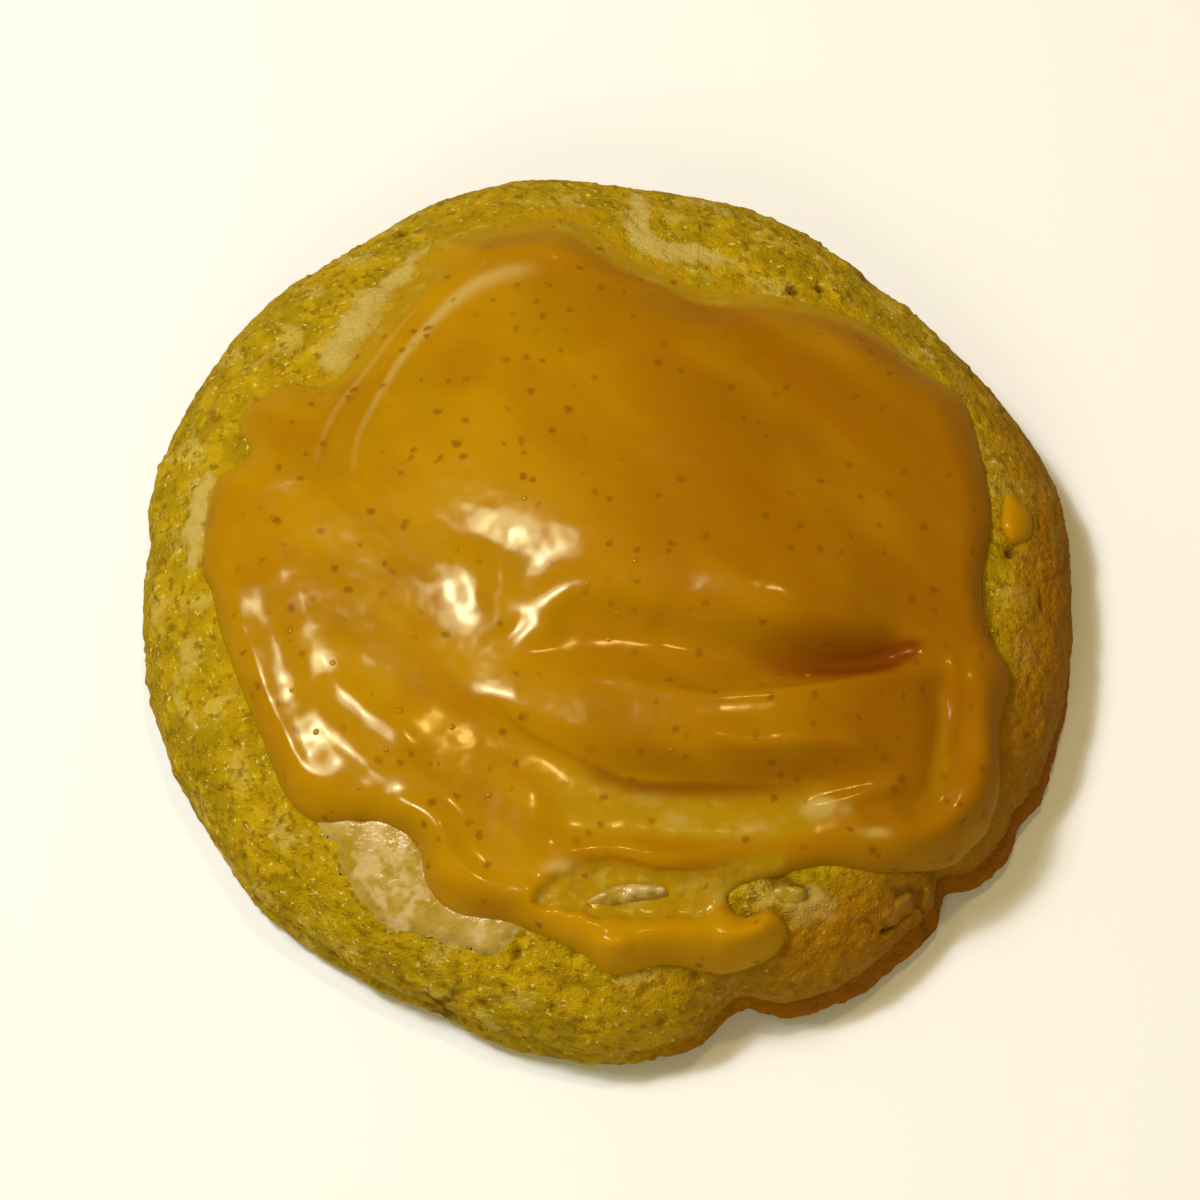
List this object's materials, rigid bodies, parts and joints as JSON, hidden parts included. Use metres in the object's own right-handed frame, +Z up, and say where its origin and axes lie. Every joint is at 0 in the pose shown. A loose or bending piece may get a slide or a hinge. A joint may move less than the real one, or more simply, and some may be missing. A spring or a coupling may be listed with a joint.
{
  "type": "iced sugar cookie",
  "caption": "Thick soft round cookie, hand-shaped, with glossy caramel-coloured icing swirled over its domed top and a patch of pale glaze.",
  "frame": {"origin": "middle of the cookie's outline, on the flat underside it rests on", "axes": "+Z up through the icing; -Y is the side nearest the viewer, with the icing's hooked tail; +X is the viewer's right"},
  "size_m": [0.0865, 0.0876, 0.0223],
  "materials": {
    "baked_dough": "baked dough, dry and finely crumbed",
    "icing": "set icing, glossy",
    "pale_glaze": "thin dried sugar glaze, satin"
  },
  "bodies": {
    "root": {"cookie": "baked_dough", "icing": "icing", "glaze": "pale_glaze"}
  },
  "joints": []
}
